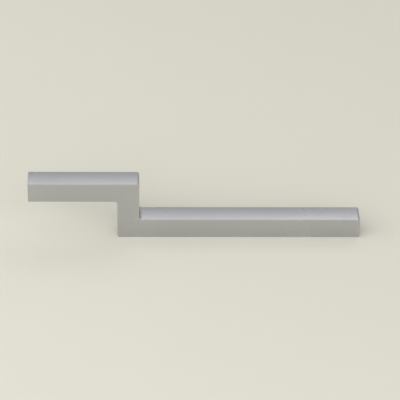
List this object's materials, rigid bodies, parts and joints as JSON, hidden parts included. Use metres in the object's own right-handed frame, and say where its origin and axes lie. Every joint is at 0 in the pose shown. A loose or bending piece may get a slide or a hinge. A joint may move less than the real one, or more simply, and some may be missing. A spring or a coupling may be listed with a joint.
{
  "type": "stepped furniture handle",
  "caption": "Square-bar furniture handle: a long flat mounting arm, a short riser and a raised, open-ended grip.",
  "frame": {"origin": "on the flat mounting face, midway between the two screw holes", "axes": "+X along the mounting arm, away from the grip; +Y across the bar; +Z off the furniture front, towards the grip"},
  "size_m": [0.15, 0.01, 0.0295],
  "materials": {
    "satin_metal": "zinc die casting, plated and satin finished to an even, fine-grained light grey"
  },
  "bodies": {
    "root": {"handle": "satin_metal"}
  },
  "joints": []
}
